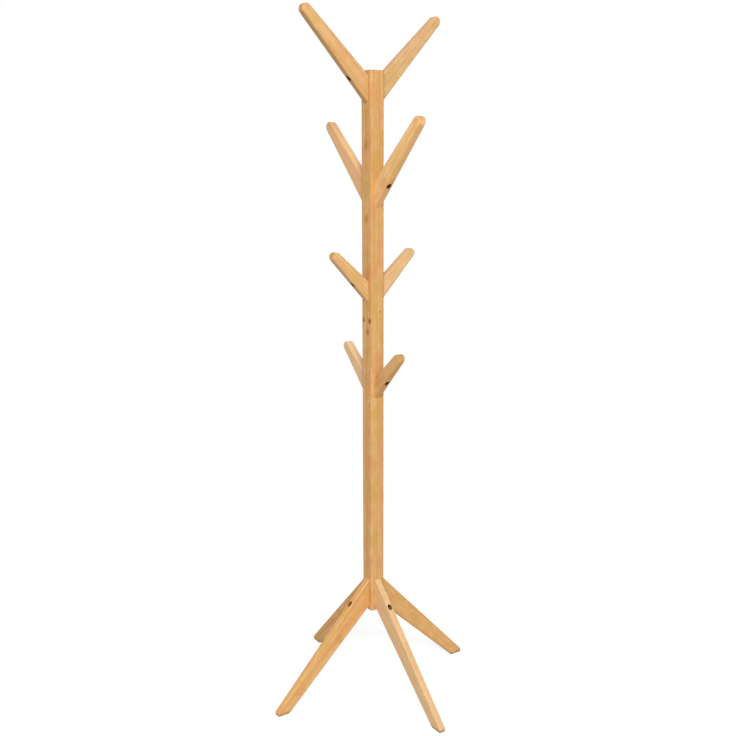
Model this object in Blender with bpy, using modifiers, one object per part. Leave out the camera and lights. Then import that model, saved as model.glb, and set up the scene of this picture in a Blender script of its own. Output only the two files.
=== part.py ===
"""A free-standing pine coat rack: a square post in three lengths, eight tapered arms and four splayed legs.

The frame stands on the floor with its origin under the post's axis, +Z up, metres. Every arm and leg is a
board on edge whose sawn root lies flat on one face of the post, held by a socket bolt and kept from turning
by a dowel. "Out" below is the distance from the post's face, and "up" the height above a board's lower root
corner. Faces are named as seen from the front: front is -Y, right is +X, back is +Y and left is -X.
"""

import math

import bmesh
import bpy
from mathutils import Matrix, Vector

GAP = 0.0003  # clearance between pieces that bear on each other

# Post
POST_SIDE = 0.0415
POST_BOTTOM = 0.2220
POST_TOP = 1.6125
POST_LENGTHS = ("post_lower", "post_middle", "post_upper")
POST_CORNER = 0.005  # radius along the four long edges
POST_END_ROUND = 0.0015  # at the very top and bottom only; the joints are square

# Boards
ARM_THICKNESS = 0.0205
LEG_THICKNESS = 0.0180
BOARD_EDGE = 0.003  # radius along every long edge
ROOT_OVERCUT = 0.008  # how far a board's blank runs into the post before its root is sawn

# Arms: root height, then the centre and radius of the round tip
LARGE_ARM = {"root": 0.0651, "out": 0.1658, "up": 0.1996, "tip": 0.0124}
SMALL_ARM = {"root": 0.0530, "out": 0.0918, "up": 0.1158, "tip": 0.0116}
LARGE_FIXING = {"bolt_up": 0.0530, "dowel_up": 0.0230, "seat_out": 0.030, "bolt": 0.040}
SMALL_FIXING = {"bolt_up": 0.0445, "dowel_up": 0.0190, "seat_out": 0.025, "bolt": 0.035}

# Legs: a straight taper from the root to the foot
LEG_ROOT_BOTTOM = 0.2306
LEG_ROOT_TOP = 0.3089
LEG_FOOT_OUT = 0.2833  # the vertical outer end of the foot
LEG_FOOT_RISE = 0.0100  # its height
LEG_SOLE_INNER = 0.2500
LEG_SOLE_CORNER = 0.0060
LEG_END_CORNER = 0.0040
LEG_FIXING = {"bolt_up": 0.0193, "dowel_up": 0.0530, "seat_out": 0.040, "bolt": 0.050}

# M6 socket bolts, sunk in counterbores and screwed into brass inserts
BOLT_RADIUS = 0.003
HEAD_RADIUS = 0.005
HEAD_HEIGHT = 0.006
HEX_ACROSS = 0.005
HEX_DEPTH = 0.0032
BOLT_CHAMFER = 0.0006
COUNTERBORE_RADIUS = 0.0058
CLEARANCE_RADIUS = 0.0034
COUNTERBORE_REACH = 0.075  # past the mouth of every counterbore
INSERT_RADIUS = 0.0048
INSERT_BORE = 0.0034
INSERT_LENGTH = 0.012
INSERT_SET_BACK = 0.0005

# Dowels, half in the post and half in the board
ARM_DOWEL = {"radius": 0.003, "length": 0.020}
LEG_DOWEL = {"radius": 0.004, "length": 0.024}
DOWEL_CHAMFER = 0.0008
HOLE_SLACK = 0.001  # how much deeper a blind hole is than what it takes

# Double-ended M8 studs between the post's lengths
STUD_RADIUS = 0.004
STUD_LENGTH = 0.060
STUD_CHAMFER = 0.0008
STUD_INSERT_RADIUS = 0.006
STUD_INSERT_BORE = 0.0044
STUD_INSERT_LENGTH = 0.020

# Facets
CORNER_STEPS = 3
TIP_STEPS = 8
EDGE_RESOLUTION = 1
VISIBLE_STEPS = 20
HIDDEN_STEPS = 12

HALF_POST = POST_SIDE / 2
FACES = {"right": 0.0, "back": math.pi / 2, "left": math.pi, "front": -math.pi / 2}

# Levels of arms from the top: number, height of the arms' lower root corners, their shape and their faces
LEVELS = (
    (1, 1.5380, LARGE_ARM, LARGE_FIXING, ("left", "right")),
    (2, 1.2875, LARGE_ARM, LARGE_FIXING, ("front", "back")),
    (3, 1.0555, SMALL_ARM, SMALL_FIXING, ("left", "right")),
    (4, 0.8080, SMALL_ARM, SMALL_FIXING, ("front", "back")),
)


def clear_scene():
    for obj in list(bpy.data.objects):
        bpy.data.objects.remove(obj, do_unlink=True)


def new_collection(name):
    collection = bpy.data.collections.new(name)
    bpy.context.scene.collection.children.link(collection)
    return collection


def new_material(name, colour, roughness, metallic=0.0):
    material = bpy.data.materials.new(name)
    material.use_nodes = True
    shader = material.node_tree.nodes["Principled BSDF"]
    shader.inputs["Base Color"].default_value = (*colour, 1.0)
    shader.inputs["Roughness"].default_value = roughness
    shader.inputs["Metallic"].default_value = metallic
    return material


def place(name, mesh, collection, location=(0, 0, 0), rotation=(0, 0, 0)):
    obj = bpy.data.objects.new(name, mesh)
    obj.location = location
    obj.rotation_euler = rotation
    collection.objects.link(obj)
    return obj


def add_part(name, mesh, material, location=(0, 0, 0), rotation=(0, 0, 0)):
    """A sub-part of the rack, parented to the empty on the floor under the post."""
    obj = place(name, mesh, parts, location, rotation)
    obj.parent = origin
    if not mesh.materials:
        mesh.materials.append(material)
    return obj


def add_cutter(name, mesh, collection, location=(0, 0, 0), rotation=(0, 0, 0)):
    obj = place(name, mesh, collection, location, rotation)
    obj.hide_render = True
    obj.display_type = "WIRE"
    return obj


def cut_with(obj, label, cutter=None, collection=None):
    modifier = obj.modifiers.new(label, "BOOLEAN")
    modifier.operation = "DIFFERENCE"
    modifier.solver = "EXACT"
    if collection:
        modifier.operand_type = "COLLECTION"
        modifier.collection = collection
    else:
        modifier.object = cutter


def evaluated_mesh(obj, name):
    """The object's shape with its modifiers applied, as a mesh of its own. The object itself is removed."""
    bpy.context.view_layer.update()
    graph = bpy.context.evaluated_depsgraph_get()
    mesh = bpy.data.meshes.new_from_object(obj.evaluated_get(graph))
    mesh.name = name
    bpy.data.objects.remove(obj, do_unlink=True)
    return mesh


def shade_round(mesh):
    mesh.shade_smooth()
    mesh.set_sharp_from_angle(angle=math.radians(40))


def radial(out, height, yaw):
    """The point this far out from the post's face and this high, on the face with this yaw."""
    return Matrix.Rotation(yaw, 3, "Z") @ Vector((HALF_POST + out, 0, height))


# Turned shapes: bolts, inserts, dowels, studs and the drills that make room for them


def turned_object(name, profile, steps, collection, closed=False):
    """The outline of (radius, height) points, listed down its outer side, turned about Z."""
    mesh = bpy.data.meshes.new(name)
    shape = bmesh.new()
    corners = [shape.verts.new((radius, 0, height)) for radius, height in profile]
    for first, second in zip(corners, corners[1:]):
        shape.edges.new((first, second))
    if closed:
        shape.edges.new((corners[-1], corners[0]))
    shape.to_mesh(mesh)
    shape.free()
    obj = place(name, mesh, collection)
    screw = obj.modifiers.new("Turn", "SCREW")
    screw.steps = screw.render_steps = steps
    screw.use_merge_vertices = True
    screw.merge_threshold = 0.00001
    return obj


def turned_mesh(name, profile, steps, closed=False):
    mesh = evaluated_mesh(turned_object(name, profile, steps, parts, closed), name)
    shade_round(mesh)
    return mesh


def rod_profile(radius, top, bottom, chamfer):
    return [
        (0, top),
        (radius - chamfer, top),
        (radius, top - chamfer),
        (radius, bottom + chamfer),
        (radius - chamfer, bottom),
        (0, bottom),
    ]


def tube_profile(outer, inner, top, bottom):
    return [(outer, top), (outer, bottom), (inner, bottom), (inner, top)]


def bolt_mesh(length):
    """A socket-head bolt along Z, with the underside of its head at zero and its shank below."""
    profile = [
        (0, HEAD_HEIGHT),
        (HEAD_RADIUS - BOLT_CHAMFER, HEAD_HEIGHT),
        (HEAD_RADIUS, HEAD_HEIGHT - BOLT_CHAMFER),
        (HEAD_RADIUS, 0),
        (BOLT_RADIUS, 0),
        (BOLT_RADIUS, BOLT_CHAMFER - length),
        (BOLT_RADIUS - BOLT_CHAMFER, -length),
        (0, -length),
    ]
    blank = turned_object("bolt_blank", profile, VISIBLE_STEPS, parts)
    hexagon = bmesh.new()
    bmesh.ops.create_cone(
        hexagon,
        cap_ends=True,
        segments=6,
        radius1=HEX_ACROSS / math.sqrt(3),
        radius2=HEX_ACROSS / math.sqrt(3),
        depth=2 * HEX_DEPTH,
        matrix=Matrix.Translation((0, 0, HEAD_HEIGHT)),
    )
    key = bpy.data.meshes.new("hex_key")
    hexagon.to_mesh(key)
    hexagon.free()
    cutter = add_cutter("hex_key", key, cutters)
    cut_with(blank, "Hex socket", cutter)
    mesh = evaluated_mesh(blank, f"socket_bolt_{round(length * 1000)}")
    bpy.data.objects.remove(cutter, do_unlink=True)
    shade_round(mesh)
    return mesh


def bolt_drill_profile(seat_out):
    """Counterbore, clearance hole and insert pocket in one, by distance from the post's axis."""
    seat = HALF_POST + seat_out
    mouth = HALF_POST + COUNTERBORE_REACH
    root = HALF_POST + GAP / 2
    pocket = INSERT_RADIUS + GAP
    floor = HALF_POST - INSERT_SET_BACK - INSERT_LENGTH - HOLE_SLACK / 2
    return [
        (0, mouth),
        (COUNTERBORE_RADIUS, mouth),
        (COUNTERBORE_RADIUS, seat),
        (CLEARANCE_RADIUS, seat),
        (CLEARANCE_RADIUS, root),
        (pocket, root),
        (pocket, floor),
        (0, floor),
    ]


def stud_drill_profile():
    """The hole across a joint of the post, wider above the joint for the insert."""
    reach = STUD_LENGTH / 2 + HOLE_SLACK
    hole = STUD_RADIUS + GAP
    pocket = STUD_INSERT_RADIUS + GAP
    pocket_top = STUD_INSERT_LENGTH + HOLE_SLACK
    return [
        (0, reach),
        (hole, reach),
        (hole, pocket_top),
        (pocket, pocket_top),
        (pocket, 0),
        (hole, 0),
        (hole, -reach),
        (0, -reach),
    ]


# Boards: flat outlines with rounded edges


def fillet(before, corner, after, radius, steps):
    """The points of an arc that rounds this corner of an outline."""
    to_before = (before - corner).normalized()
    to_after = (after - corner).normalized()
    half = to_before.angle(to_after) / 2
    bisector = (to_before + to_after).normalized()
    centre = corner + bisector * radius / math.sin(half)
    start = corner + to_before * radius / math.tan(half) - centre
    sweep = start.angle_signed(corner + to_after * radius / math.tan(half) - centre)
    return [centre + Matrix.Rotation(-sweep * i / steps, 2) @ start for i in range(steps + 1)]


def board_mesh(name, outline, thickness):
    """A board on edge: the outline lies in X (out) and Y (up), and the thickness along Z."""
    curve = bpy.data.curves.new(name, "CURVE")
    curve.dimensions = "2D"
    curve.fill_mode = "BOTH"
    curve.extrude = thickness / 2 - BOARD_EDGE
    curve.bevel_depth = BOARD_EDGE
    curve.bevel_resolution = EDGE_RESOLUTION
    curve.offset = -BOARD_EDGE
    spline = curve.splines.new("POLY")
    spline.points.add(len(outline) - 1)
    for point, (out, up) in zip(spline.points, outline):
        point.co = (HALF_POST + out, up, 0, 1)
    spline.use_cyclic_u = True
    mesh = evaluated_mesh(place(name, curve, parts), name)
    shape = bmesh.new()
    shape.from_mesh(mesh)
    bmesh.ops.remove_doubles(shape, verts=shape.verts, dist=0.000001)
    bmesh.ops.dissolve_limit(shape, angle_limit=0.001, verts=shape.verts, edges=shape.edges)
    shape.to_mesh(mesh)
    shape.free()
    shade_round(mesh)
    return mesh


def arm_outline(root, out, up, tip):
    """Two straight edges from the root, tangent to the circle of the tip."""
    centre = Vector((out, up))
    lower = Vector((0, 0))
    upper = Vector((0, root))
    lower_to_tip = centre - lower
    upper_to_tip = centre - upper
    lower_angle = math.atan2(lower_to_tip.y, lower_to_tip.x) - math.asin(tip / lower_to_tip.length)
    upper_angle = math.atan2(upper_to_tip.y, upper_to_tip.x) + math.asin(tip / upper_to_tip.length)
    first = lower_angle - math.pi / 2
    last = upper_angle + math.pi / 2
    turns = [first + (last - first) * i / TIP_STEPS for i in range(TIP_STEPS + 1)]
    arc = [centre + tip * Vector((math.cos(turn), math.sin(turn))) for turn in turns]
    lower_end = Vector((-ROOT_OVERCUT, -ROOT_OVERCUT * math.tan(lower_angle)))
    upper_end = Vector((-ROOT_OVERCUT, root - ROOT_OVERCUT * math.tan(upper_angle)))
    return [lower_end, *arc, upper_end]


def leg_outline():
    """A taper from the root to the foot, whose sole is flat on the floor."""
    drop = LEG_ROOT_BOTTOM / LEG_SOLE_INNER
    fall = (LEG_ROOT_TOP - LEG_FOOT_RISE) / LEG_FOOT_OUT
    lower_root = Vector((-ROOT_OVERCUT, LEG_ROOT_BOTTOM + drop * ROOT_OVERCUT))
    upper_root = Vector((-ROOT_OVERCUT, LEG_ROOT_TOP + fall * ROOT_OVERCUT))
    heel = Vector((LEG_SOLE_INNER, 0))
    toe = Vector((LEG_FOOT_OUT, 0))
    shoulder = Vector((LEG_FOOT_OUT, LEG_FOOT_RISE))
    return [
        lower_root,
        *fillet(lower_root, heel, toe, LEG_SOLE_CORNER, CORNER_STEPS),
        *fillet(heel, toe, shoulder, LEG_END_CORNER, CORNER_STEPS),
        *fillet(toe, shoulder, upper_root, LEG_END_CORNER, CORNER_STEPS),
        upper_root,
    ]


# The post


def box_between(low, high):
    """A box-shaped bmesh between two corners."""
    shape = bmesh.new()
    size = Vector(high) - Vector(low)
    middle = (Vector(high) + Vector(low)) / 2
    bmesh.ops.create_cube(shape, size=1, matrix=Matrix.Translation(middle) @ Matrix.Diagonal((*size, 1)))
    return shape


def post_section_mesh(name, bottom, top):
    """A square length with rounded long edges, and rounded ends where it ends the post."""
    shape = box_between((-HALF_POST, -HALF_POST, bottom), (HALF_POST, HALF_POST, top))
    upright = [e for e in shape.edges if abs(e.verts[0].co.z - e.verts[1].co.z) > POST_SIDE]
    bmesh.ops.bevel(shape, geom=upright, offset=POST_CORNER, segments=CORNER_STEPS, affect="EDGES")
    ends = [height for height in (bottom, top) if height in (POST_BOTTOM, POST_TOP)]
    rims = [e for e in shape.edges if any(all(abs(v.co.z - end) < GAP for v in e.verts) for end in ends)]
    bmesh.ops.bevel(shape, geom=rims, offset=POST_END_ROUND, segments=1, affect="EDGES")
    mesh = bpy.data.meshes.new(name)
    shape.to_mesh(mesh)
    shape.free()
    shade_round(mesh)
    return mesh


def joint_heights():
    """The heights of the joints between the post's equal lengths."""
    step = (POST_TOP - POST_BOTTOM) / len(POST_LENGTHS)
    return [POST_BOTTOM + step * i for i in range(1, len(POST_LENGTHS))]


def build_post(material):
    ends = [POST_BOTTOM, *joint_heights(), POST_TOP]
    for name, low, high in zip(POST_LENGTHS, ends, ends[1:]):
        bottom = low if low == POST_BOTTOM else low + GAP / 2
        top = high if high == POST_TOP else high - GAP / 2
        section = add_part(name, post_section_mesh(name, bottom, top), material)
        cut_with(section, "Bores", collection=drills)


def build_post_joints(steel, brass):
    """A stud across each joint, fixed in the length below and screwed into an insert above."""
    half = STUD_LENGTH / 2
    rod = turned_mesh("stud", rod_profile(STUD_RADIUS, half, -half, STUD_CHAMFER), HIDDEN_STEPS)
    sleeve = tube_profile(STUD_INSERT_RADIUS, STUD_INSERT_BORE, STUD_INSERT_LENGTH, 0)
    tube = turned_mesh("stud_insert", sleeve, HIDDEN_STEPS, closed=True)
    drill = turned_mesh("stud_drill", stud_drill_profile(), HIDDEN_STEPS)
    for joint, height in zip(("lower", "upper"), joint_heights()):
        add_part(f"stud_{joint}", rod, steel, (0, 0, height))
        add_part(f"stud_insert_{joint}", tube, brass, (0, 0, height + HOLE_SLACK / 2))
        add_cutter(f"stud_drill_{joint}", drill, drills, (0, 0, height))


# Arms and legs


def fixing_meshes(fixing, dowel):
    """The bolt, dowel and two drills that hold one kind of board to the post."""
    half = dowel["length"] / 2
    hole = half + HOLE_SLACK
    return {
        "bolt": bolt_mesh(fixing["bolt"]),
        "dowel": turned_mesh(
            "dowel", rod_profile(dowel["radius"], half, -half, DOWEL_CHAMFER), HIDDEN_STEPS
        ),
        "bolt_drill": turned_mesh("bolt_drill", bolt_drill_profile(fixing["seat_out"]), VISIBLE_STEPS),
        "dowel_drill": turned_mesh(
            "dowel_drill",
            [(0, hole), (dowel["radius"] + GAP, hole), (dowel["radius"] + GAP, -hole), (0, -hole)],
            HIDDEN_STEPS,
        ),
    }


def add_board(name, board, wood, height, face, fixing, meshes):
    """One arm or leg on its face of the post, with its bolt, insert and dowel."""
    yaw = FACES[face]
    along = (0, math.pi / 2, yaw)
    bolt_height = height + fixing["bolt_up"]
    dowel_height = height + fixing["dowel_up"]
    bolt_at = radial(fixing["seat_out"] + GAP, bolt_height, yaw)
    insert_at = radial(-INSERT_SET_BACK - INSERT_LENGTH, bolt_height, yaw)
    dowel_at = radial(0, dowel_height, yaw)
    bolt_drill = add_cutter(f"bolt_drill_{name}", meshes["bolt_drill"], drills, (0, 0, bolt_height), along)
    dowel_drill = add_cutter(f"dowel_drill_{name}", meshes["dowel_drill"], drills, dowel_at, along)
    member = add_part(name, board, wood, (0, 0, height), (math.pi / 2, 0, yaw))
    cut_with(member, "Sawn root", post_envelope)
    cut_with(member, "Bolt hole", bolt_drill)
    cut_with(member, "Dowel hole", dowel_drill)
    add_part(f"bolt_{name}", meshes["bolt"], black_steel, bolt_at, along)
    add_part(f"insert_{name}", insert_mesh, brass, insert_at, along)
    add_part(f"dowel_{name}", meshes["dowel"], beech, dowel_at, along)


def build_arms(wood):
    for number, height, shape, fixing, faces in LEVELS:
        board = board_mesh(f"arm_board_{number}", arm_outline(**shape), ARM_THICKNESS)
        meshes = fixing_meshes(fixing, ARM_DOWEL)
        for face in faces:
            add_board(f"arm_{number}_{face}", board, wood, height, face, fixing, meshes)


def build_legs(wood):
    board = board_mesh("leg_board", leg_outline(), LEG_THICKNESS)
    meshes = fixing_meshes(LEG_FIXING, LEG_DOWEL)
    fixing = {**LEG_FIXING, **{key: LEG_ROOT_BOTTOM + LEG_FIXING[key] for key in ("bolt_up", "dowel_up")}}
    for face in FACES:
        add_board(f"leg_{face}", board, wood, 0, face, fixing, meshes)


clear_scene()
parts = new_collection("coat_rack")
cutters = new_collection("cutters")
drills = bpy.data.collections.new("drills")
cutters.children.link(drills)
cutters.hide_render = True
origin = bpy.data.objects.new("coat_rack_origin", None)
parts.objects.link(origin)

pine_post = new_material("pine_post", (0.80, 0.45, 0.18), 0.38)
pine_arms = new_material("pine_arms", (0.78, 0.42, 0.16), 0.38)
pine_legs = new_material("pine_legs", (0.77, 0.41, 0.16), 0.38)
beech = new_material("dowel_beech", (0.62, 0.42, 0.26), 0.6)
black_steel = new_material("bolt_steel", (0.02, 0.018, 0.016), 0.4, 1.0)
brass = new_material("insert_brass", (0.80, 0.60, 0.28), 0.3, 1.0)
zinc_steel = new_material("stud_steel", (0.62, 0.62, 0.62), 0.35, 1.0)

envelope_half = HALF_POST + GAP
envelope = box_between((-envelope_half, -envelope_half, 0), (envelope_half, envelope_half, 2 * POST_TOP))
envelope_mesh = bpy.data.meshes.new("post_envelope")
envelope.to_mesh(envelope_mesh)
envelope.free()
post_envelope = add_cutter("post_envelope", envelope_mesh, cutters)
insert_profile = tube_profile(INSERT_RADIUS, INSERT_BORE, INSERT_LENGTH, 0)
insert_mesh = turned_mesh("insert", insert_profile, HIDDEN_STEPS, closed=True)

build_arms(pine_arms)
build_legs(pine_legs)
build_post_joints(zinc_steel, brass)
build_post(pine_post)
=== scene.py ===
import math
import random

import bmesh
import bpy
from mathutils import Matrix, Vector, geometry, noise


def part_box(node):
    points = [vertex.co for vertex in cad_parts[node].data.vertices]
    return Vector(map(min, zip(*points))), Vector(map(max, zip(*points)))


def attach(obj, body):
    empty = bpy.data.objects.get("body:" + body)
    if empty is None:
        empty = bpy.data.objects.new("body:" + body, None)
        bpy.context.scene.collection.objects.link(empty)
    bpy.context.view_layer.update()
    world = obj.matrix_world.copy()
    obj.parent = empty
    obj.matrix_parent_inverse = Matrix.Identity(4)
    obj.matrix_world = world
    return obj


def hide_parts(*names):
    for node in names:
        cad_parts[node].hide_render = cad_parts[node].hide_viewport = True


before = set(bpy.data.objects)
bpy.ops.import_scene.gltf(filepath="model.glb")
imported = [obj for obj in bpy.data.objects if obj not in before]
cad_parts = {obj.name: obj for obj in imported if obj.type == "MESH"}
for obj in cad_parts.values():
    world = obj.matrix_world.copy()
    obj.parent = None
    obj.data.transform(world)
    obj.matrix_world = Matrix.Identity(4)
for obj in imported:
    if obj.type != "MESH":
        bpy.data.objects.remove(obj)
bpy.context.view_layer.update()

# A standing coat rack. A square post in three lengths, which studs join, carries four small and four large
# arms and stands on four splayed legs. A bolt, in an insert in the post, and a dowel hold each of them.
#
# "Out" is the distance from the post's axis at one face, "side" the way across that face and "up" the height.
FACE_TURNS = {"right": 0.0, "back": 90.0, "left": 180.0, "front": -90.0}

# Wood: rounding and hand finish
BOARD_EDGE = 0.003
POST_CORNER = 0.005
POST_END_ROUND = 0.0015
JOINT_EASE = 0.0001
EDGE_VARIATION = 0.15  # how much wider a hand-sanded edge is in places
EDGE_WAVE = 0.03
PLANE_DEPTH = 0.00015  # how deep the planer and sander left their waves
PLANE_WAVE = 0.07
END_FADE = 0.008  # sawn ends are flat, so the waves die out before them
JOINT_REACH = 0.00012  # how far a length of the post fills the frame's clearance, so that wood meets wood
ROOT_REACH = 0.00022  # and how far a board's root does

# Wood: mesh density
STATION = 0.005  # between cross-sections
ROUND_STEPS = 6
RUNGS = (0.0, 0.04, 0.2, 0.4, 0.6, 0.8, 0.96, 1.0)  # shares of the way across a flat
SHARP_ANGLE = math.radians(32)
SAME_PLANE = 1e-5
STRAIGHT = math.radians(0.5)  # a smaller bend isn't a corner

# Fixings
HEAD_HEIGHT = 0.006
HEAD_CHAMFER = 0.0005
HEAD_FACETS = 48
KNURL_DEPTH = 0.00018
HEX_SIDES = 6
HEX_RADIUS = 0.0029
HEX_DEPTH = 0.0032
POINT_DEPTH = HEX_RADIUS / 3  # the drilled point under the hexagon
POINT_RIM = HEX_RADIUS * 0.85
POINT_TIP = HEX_RADIUS / 20
SHANK_RADIUS = 0.003
SHANK_TIP = 0.0022
THREAD_LENGTH = 0.018
THREAD_DEPTH = 0.0004
STUD_CHAMFER = THREAD_DEPTH * 1.5
THREAD_STEPS = 6  # cross-sections to each turn
BOLT_PITCH = 0.001
STUD_PITCH = 0.00125
INSERT_PITCH = 0.0022
INSERT_THREAD = 0.0007
INSERT_TAPER = 0.0008
INSERT_COLLAR = 0.0012
INSERT_BORE = 0.72  # share of its outer radius
FITTING_FACETS = 32
FLUTES = 12
FLUTE_DEPTH = 0.00022
FLUTE_STEPS = 6
DOWEL_CHAMFER = 0.0006
COUNTERBORE_RADIUS = 0.0058
CLEARANCE_RADIUS = 0.0034
BORE_SLACK = 0.0002
BORE_SEGMENTS = 40
BORE_RUN = 0.08  # how far a cutter runs on past the mouth
MOUTH_EASE = 0.0004

# Metal and beech. A range is from where to where in a pattern something comes in. Where it has four
# numbers, the last two are what it comes in from and to.
FINE_NOISE = (3.0, 0.6)  # its detail and roughness
BLOTCH_RANGE = (0.4, 0.65)
DULL_RANGE = (0.5, 0.9)
SCRATCH_FINENESS = 9.0  # times that of the blotches
SCRATCH_SHARE = 0.4
SCRATCH_SQUEEZE = 0.1
SCRATCH_DEPTH = 0.00005
METAL_RELIEF = 0.2
BEECH_FINENESS = 900.0  # per metre
BEECH_FLECKING = 1100.0
BEECH_ROUGHNESS = (0.2, 0.8, 0.6, 0.8)
FLECK_RANGE = (0.22, 0.1, 0.0, 0.6)

# Pine
RING_SPACING = 0.0034
RING_SHIFT = 3.0  # how many rings' width they stray
RING_EDGE = 0.88  # the share of a ring after which its dark summer wood ends
FAINTEST_RING = 0.3
FIBRE_TONES = (0.9, 1.05)
POST_WAVINESS = 0.008
BOARD_WAVINESS = 0.009
PORE_DEPTH = 0.0002
WOOD_RELIEF = 0.3
WOOD_ROUGHNESS = 0.36
FIBRE_ROUGHNESS = 0.14
DULL_ROUGHNESS = 0.12
LACQUER = {"Specular_IOR_Level": 0.28, "Coat_Weight": 0.06, "Coat_Roughness": 0.25}
# painted shade near the floor: the height under which the feet are darkened
FOOT_SHADE_HEIGHT = 0.012
KNOT_RISE = 0.3  # how steeply branches climb
KNOT_SQUEEZE = 0.7  # cut lengthways, a knot shows longer than it is wide
KNOT_LUMPS = 90.0
KNOT_LUMPINESS = 0.5
KNOT_MARGIN = 0.05  # a knot this far beyond a length of the post still bends its rings
# In the knot's own distance from the pith:
KNOT_HALO = 1.0  # how far past its rim it darkens the wood
KNOT_PULL = 0.8  # how smoothly the rings bend round it
KNOT_BLUR = 0.5  # how soft its rim is if it's faint
KNOT_CRISPNESS = 0.4  # how much less soft if it's strong
KNOT_CORE = 0.2  # where its dark core starts

# How much of each colour the pine takes, and where: shares and ranges
HALO_STRENGTHS = (0.3, 0.4)  # round the faintest knot, and how much more round the strongest
HALO_SHARE = 0.6
KNOT_SHARE = 0.85
KNOT_RING_SHARE = 0.8
RIM_SHARE = 0.8
CORE_SHARE = 0.6
STREAK_RANGE = (0.35, 0.7)
WARM_RANGE = (0.5, 0.64, 0.0, 0.6)
GOLD_RANGE = (0.49, 0.36, 0.0, 0.55)
PALE_RANGE = (0.2, 0.8)
PALE_LEAST = 0.7
HEART_FADE = 0.85  # of its radius
HEART_SHARE = 0.5
LATE_SHARE = 0.62
RING_RANGE = (0.3, 0.7)
FIBRE_RANGE = (0.25, 0.75)
END_RANGE = (0.6, 0.95)  # how squarely a surface faces along the grain
END_SHARE = 0.5
EDGE_RANGE = (0.08, 0.25)
RUBBED_RANGE = (0.35, 0.7, 0.2, 1.0)
RUBBED_SHARE = 0.45
# where in the rubbing pattern the painted shade near the floor comes in, and how strongly
FOOT_SHADE_RANGE = (0.3, 0.6, 0.4, 1.0)
# how much of the painted bore shade the hole walls take
RAW_SHADED_BORE_SHARE = 0.9

# Patterns in pine: how fine they are across the grain, per metre, what share of that they are along it, and
# the noise's detail and roughness
BENDS = (14.0, 0.14, 2.0, 0.5)
PATCHES = (36.0, 0.5, 2.0, 0.5)
RING_SHIFTS = (45.0, 0.02, 1.0, 0.5)
RUBBING = (60.0, 1.0, 3.0, 0.6)
RING_STRENGTHS = (80.0, 0.04, 1.0, 0.5)
STREAKS = (160.0, 0.02, 2.0, 0.55)
FIBRES = (1400.0, 0.02, 3.0, 0.65)

# Logs: how each board was sawn
LOG_SEED = 11
PITH_ACROSS = 0.02  # at most
PITH_BEYOND = (0.03, 0.06)
LOG_STEP = 3.7  # along the grain, so that no two boards share a pattern
PLAIN_WOOD = {"tone": 1.0, "pale": 0.0, "heart": 0.03, "knots": []}


def srgb(red, green, blue):
    """A colour in display values from 0 to 255, as the linear colour that shaders take."""
    linear = []
    for value in (red, green, blue):
        value /= 255
        linear.append(value / 12.92 if value <= 0.04045 else ((value + 0.055) / 1.055) ** 2.4)
    return (*linear, 1.0)


EARLY_WOOD = srgb(226, 179, 118)
MID_WOOD = srgb(214, 163, 99)
LATE_WOOD = srgb(184, 124, 64)
WARM_WOOD = srgb(218, 152, 96)
GOLD_WOOD = srgb(206, 160, 80)
PALE_WOOD = srgb(238, 214, 178)
HALO_WOOD = srgb(200, 136, 66)
KNOT_HEART = srgb(150, 84, 22)
KNOT_RIM = srgb(94, 50, 12)
# raw wood in the drilled holes, darkened as painted shade inside them
RAW_SHADED_BORE_WOOD = srgb(120, 68, 22)
END_WOOD = srgb(178, 124, 72)
EDGE_TINT = srgb(214, 198, 178)
# painted shade near the floor, on the lowest part of the feet
FOOT_SHADE_TINT = srgb(170, 150, 128)
BRASS = (srgb(168, 128, 58), srgb(206, 170, 92))
BLACK_STEEL = (srgb(50, 43, 36), srgb(74, 65, 56))
ZINC = (srgb(150, 152, 156), srgb(196, 198, 200))
BEECH = (srgb(214, 172, 130), srgb(196, 148, 106))
BEECH_FLECKS = srgb(150, 100, 66)
WHITE = (1.0, 1.0, 1.0, 1.0)

# Camera: in front, to the left and a little above
CAMERA_HEADING = 34.71  # degrees round from the front towards the left face
CAMERA_DISTANCE = 2.4256  # along the floor, from the post's axis
CAMERA_HEIGHT = 1.3893
CAMERA_PITCH = 12.25  # degrees downwards
CAMERA_ROLL = 0.095
CAMERA_LENS = 47.27
SENSOR_WIDTH = 36.0
CAMERA_SHIFT = (-0.0064, 0.0100)

# Light
KEY_HEADING = 32.0
KEY_RISE = 31.0
KEY_DISTANCE = 8.0
KEY_SIZE = 4.2
KEY_POWER = 622.0
KEY_AIM = 1.0
ROOM_LIGHT = (0.70, 0.41)  # what the white room gives from behind and from in front, against the 1.0 it looks
ROOM_TURN = (-0.8, 0.2)  # where the one goes over into the other: -1 is straight behind, and 1 in front
FLOOR_REACH = 60.0
FLOOR_DROP = 0.0003
FLOOR_BOUNCE = 0.6  # how much of the light the floor throws back at the object
PAPER_GREY = 0.55  # near the object the floor shows a faint shadow, further off it's plain white
PAPER_GLOW = 0.62
PAPER_CLEAR = (0.5, 1.6)  # from where to where the shadow fades out


# ------------------------------------------------------------------ shader graphs


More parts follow.
